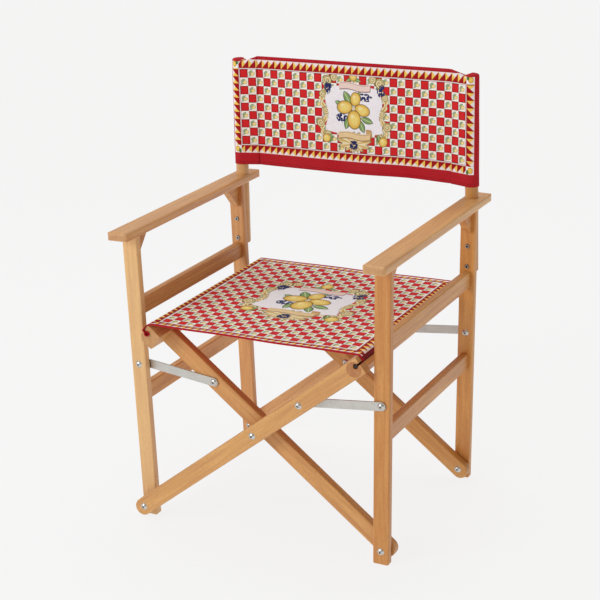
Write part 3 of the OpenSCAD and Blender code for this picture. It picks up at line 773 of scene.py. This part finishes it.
def make_sleeve(side, front, plain):
    """The sleeve on one post, closed at the top by a low dome."""
    sign = 1 if side == "right" else -1
    path, spine, run = sleeve_path()
    rows = [[(p, z) for p in path] for z in np.linspace(BACK_Z[0], SLEEVE_STRAIGHT, 30)]
    for turn in np.linspace(0, QUARTER, 8):
        row = []
        for p, q in zip(path, spine):
            top = float(np.interp(q[0], SLEEVE_TOP_X, SLEEVE_TOP)) - CLOTH / 2
            z = top - DOME + DOME * math.sin(turn) ** DOME_POWER
            row.append((q + (p - q) * max(0.0, math.cos(turn)) ** DOME_POWER, z))
        rows.append(row)
    grid, uvs = [], []
    for row in rows:
        line, marks = [], []
        for k, (p, z) in enumerate(row):
            x = axis_x(side, z)
            slack = 0.5 * math.sin(z * 0.055 + 2.2 * math.sin(k * 0.35))
            p = p * (1 + 0.02 * slack)
            line.append((x + sign * p[0], BACK_Y + p[1], z))
            marks.append((sign * (abs(x) - SEAM + run[k]), z))
        # Columns run the same way on both sides, so that the print faces outwards
        grid.append(line[::sign])
        uvs.append(marks[::sign])
    made = cloth_mesh(side + "_sleeve", grid, CLOTH, uvs, front, plain, flat_top=True)
    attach(made, side + "_frame")
    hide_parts(side + "_back_sleeve")
    run[-1] * MM
    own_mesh(made)


def make_panel(front, plain):
    """The back cloth between the sleeves, its ends tucked into their seams."""
    low, high = BACK_Z
    levels = [low + (high - low) * t for t in np.linspace(0, 1, 41)]
    levels = sorted(set(levels + [low + LOW_HEM, low + LOW_HEM + HEM_STEP, high - TOP_HEM,
                                  high - TOP_HEM - HEM_STEP]))
    grid, uvs, thick = [], [], []
    for z in levels:
        left = axis_x("left", z) + SEAM - TUCK
        right = axis_x("right", z) - SEAM + TUCK
        hemmed = z > high - TOP_HEM or z < low + LOW_HEM + HEM_STEP / 2
        line, marks, width = [], [], []
        for t in np.linspace(0, 1, 97):
            x = left + (right - left) * t
            # Ripples beside the sleeves, none in the tucked part
            near = 1 - min(1.0, min(x - left, right - x) / RIPPLE_REACH)
            ripple = 1.2 * near * near * math.sin(z * 0.075 + x * 0.01)
            tucked = max(0.0, abs(x) - (right - TUCK)) / TUCK
            ripple = ripple * (1 - tucked) - 0.6 * near * (1 - tucked)
            slope = max(0.0, (z - TUCK_SLOPE_Z) / (high - TUCK_SLOPE_Z)) if tucked else 0.0
            z_here = z - slope * (3.0 + tucked * 9.0)
            # The hem hangs a little, and is short where a seat rail comes when folded
            low_share = (high - z) / (high - low)
            lift = HEM_LIFT * math.exp(-((x - LIFT_X) / LIFT_WIDTH) ** 2)
            droop = (lift - 0.6 * math.sin(math.pi * t)) * low_share ** 2
            line.append((x, BACK_Y + ripple, z_here + droop))
            marks.append((x, z_here))
            width.append(CLOTH * (1.7 if hemmed and tucked == 0 else 0.9))
        grid.append(line)
        uvs.append(marks)
        thick.append(width)
    made = cloth_mesh("back_canvas", grid, thick, uvs, front, plain)
    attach(made, "left_frame")
    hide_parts("back_panel")
    width = (axis_x("right", BACK_Z[0]) - SEAM + TUCK) * 2
    width * MM
    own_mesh(made)


def seat_half_path():
    """One half of the seat's section, from the middle outwards and into the keyhole."""
    rod_low, rod_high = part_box("right_hem_rod")
    rod = np.array([(rod_low.x + rod_high.x) / 2, (rod_low.z + rod_high.z) / 2]) / MM
    along = np.array([math.cos(LEAN), math.sin(LEAN)])
    over = np.array([-math.sin(LEAN), math.cos(LEAN)])
    outside = rod + along * RAIL_OUT
    corner = outside + over * RAIL_UP - along * EDGE_R
    top = corner[1] + EDGE_R
    points = []
    for t in np.linspace(0, 1, SEAT_POINTS + 1)[:-1]:
        points.append(np.array([corner[0] * t, top - SEAT_SAG * (1 - t * t) ** 1.2]))
    for a in np.linspace(QUARTER, LEAN, 8):
        points.append(corner + EDGE_R * np.array([math.cos(a), math.sin(a)]))
    for t in np.linspace(0, 1, 6)[1:-1]:
        points.append(corner + along * EDGE_R - over * RAIL_UP * t)
    # Round the slot's lip, in to the rod and round it
    turn = outside - along * SLOT_R
    for a in np.linspace(0, QUARTER, 5):
        points.append(turn + over * SLOT_R
                      + SLOT_R * (along * math.cos(a) - over * math.sin(a)))
    points.append(rod + along * 7.6)
    points.append(rod + along * 6.0 - over * 0.5)
    for a in np.linspace(math.radians(-28), math.radians(-325), 26):
        points.append(rod + ROD_R * (along * math.cos(a) + over * math.sin(a)))
    return points


def make_seat(front, plain):
    """The seat cloth, from one hem rod over both rails to the other."""
    half = seat_half_path()
    rail_x = half[SEAT_POINTS][0]
    path = [p * np.array([-1, 1]) for p in reversed(half[1:])] + half
    steps = [0.0] + [float(np.linalg.norm(b - a)) for a, b in zip(path, path[1:])]
    run = np.cumsum(steps)
    run -= run[len(half) - 1]
    front_y, rear_y = SEAT_Y
    levels = list(np.linspace(front_y, rear_y, 47))
    levels = sorted(set(levels + [front_y + SEAT_HEM, front_y + SEAT_HEM + HEM_STEP,
                                  rear_y - SEAT_HEM, rear_y - SEAT_HEM - HEM_STEP]))
    grid, uvs, thick = [], [], []
    for y in levels:
        depth = (y - front_y) / (rear_y - front_y)
        hemmed = min(y - front_y, rear_y - y) < SEAT_HEM + HEM_STEP / 2
        line, marks, width = [], [], []
        for p, u in zip(path, run):
            flat = max(0.0, 1 - (abs(u) / SEAT_FLAT) ** 2)
            ripple = 0.8 * flat * math.sin(u * 0.028) * math.cos(y * 0.011)
            skew = SEAT_SKEW * (0.6 + p[0] / SEAT_EDGE)
            # On the left the hem reaches the rail's end round the rod
            slot = min(1.0, max(0.0, (-u - SLIDE_FROM) / SLIDE_OVER))
            skew -= slot * HEM_SLIDE * (1 - depth) ** 10
            # The double hems in front and behind hang less than the middle
            span = max(0.0, 1 - (p[0] / rail_x) ** 2) ** 1.2
            lift = SEAT_SAG * 0.9 * span * (1 - math.sin(math.pi * depth) ** 0.7)
            line.append((p[0], y + skew, p[1] + ripple + lift))
            marks.append((float(u), y))
            width.append(CLOTH * (1.5 if hemmed and abs(u) < SEAT_FLAT else 0.9))
        grid.append(line)
        uvs.append(marks)
        thick.append(width)
    made = cloth_mesh("seat_cloth", grid, thick, uvs, front, plain)
    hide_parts("seat_canvas")
    edge = rail_x * MM
    -edge
    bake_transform(made)


# ---------------------------------------------------------------- floor, light and camera

# Sizes here are in metres
FLOOR_SIZE = 300
FLOOR_GLOW = 0.83
FAR_FLOOR = (1.03, 1.03, 1.03, 1)
WORLD_LIGHT = 0.60
WHITE_LIGHT, WARM_LIGHT, HORIZON = srgb("ffffff"), srgb("a88a6c"), (1.5, 1.5, 1.5, 1)
LAMPS = (("key", (-1.8, -3.0, 1.8), 1.6, 44), ("top", (-0.4, 0.9, 3.0), 2.4, 26))
LAMP_TARGET = Vector((0, 0, 0.4))
AZIMUTH, ELEVATION, ROLL = (math.radians(v) for v in (27.63, 19.2009, -1.6209))
VIEW_TARGET = Vector((-0.00364, -0.02625, 0.43453))
VIEW_DISTANCE = 3.07793
LENS, SENSOR = 92.37, 36.0  # millimetres


def make_floor():
    """A plain pale floor, lit a little from within, so that it ends in a white horizon."""
    mesh = bpy.data.meshes.new("floor")
    size = FLOOR_SIZE
    mesh.from_pydata([(-size, -size, 0), (size, -size, 0), (size, size, 0), (-size, size, 0)],
                     [], [(0, 1, 2, 3)])
    made, g = material("pale_floor")
    grain = g.noise(g.node("TexCoord").outputs["Object"], 3.0, 2.0)
    away = g.length(g.node("TexCoord").outputs["Object"])
    settle(g, base_color=srgb("5c5c5c"), roughness=0.9 + grain * 0.05,
           emission_color=g.mix(g.above(away, 3.5, 5.0), WHITE_LIGHT, FAR_FLOOR))
    g.shader.inputs["Emission Strength"].default_value = FLOOR_GLOW
    g.shader.inputs["Specular IOR Level"].default_value = 0.0
    mesh.materials.append(made)
    floor = bpy.data.objects.new("floor", mesh)
    scene.collection.objects.link(floor)


def area_light(name, spot, size, power):
    """A round lamp that looks at the chair."""
    lamp = bpy.data.lights.new(name, "AREA")
    lamp.shape, lamp.size, lamp.energy = "DISK", size, power
    made = bpy.data.objects.new(name, lamp)
    made.location = spot
    made.rotation_euler = (LAMP_TARGET - Vector(spot)).to_track_quat("-Z", "Y").to_euler()
    scene.collection.objects.link(made)


def make_light():
    """A white studio with a bright horizon and a warmer right side, and the lamps."""
    world = bpy.data.worlds.new("studio")
    world.use_nodes = True
    g = Graph(world.node_tree)
    shade = world.node_tree.nodes["Background"]
    side, _, height = g.split(g.node("TexCoord").outputs["Generated"])
    glow = g.mix(g.above(height, 0.35, 0.9), srgb("c9c9cb"), WHITE_LIGHT)
    glow = g.mix(g.above(side, 0.3, 0.8) * 0.7, glow, WARM_LIGHT)
    glow = g.mix(g.below(abs(height), 0.10, 0.06), glow, HORIZON)
    g.plug(shade.inputs[0], glow)
    shade.inputs[1].default_value = WORLD_LIGHT
    scene.world = world
    for lamp in LAMPS:
        area_light(*lamp)
    scene.view_settings.view_transform = "Standard"


def make_camera():
    """The camera stands in front, to the right and a little above."""
    forward = Vector((-math.sin(AZIMUTH) * math.cos(ELEVATION),
                      math.cos(AZIMUTH) * math.cos(ELEVATION), -math.sin(ELEVATION)))
    right = forward.cross(Vector((0, 0, 1))).normalized()
    up = right.cross(forward)
    x = math.cos(ROLL) * right + math.sin(ROLL) * up
    y = -math.sin(ROLL) * right + math.cos(ROLL) * up
    camera = bpy.data.cameras.new("camera")
    camera.lens, camera.sensor_width = LENS, SENSOR
    camera.clip_end = 1000
    made = bpy.data.objects.new("camera", camera)
    matrix = made.matrix_world.copy()
    place = VIEW_TARGET - forward * VIEW_DISTANCE
    for column, vector in enumerate((x, y, -forward, place)):
        for row in range(3):
            matrix[row][column] = vector[row]
    made.matrix_world = matrix
    scene.collection.objects.link(made)
    scene.camera = made


# ---------------------------------------------------------------- the scene

finish_cad_nodes()
medallion_group()
crimson = plain_canvas("plain_crimson", CRIMSON)
back_face = back_print()
seat_face = seat_print()
for side in SIDES:
    make_sleeve(side, back_face, crimson)
make_panel(back_face, crimson)
make_seat(seat_face, crimson)
make_floor()
make_light()
make_camera()
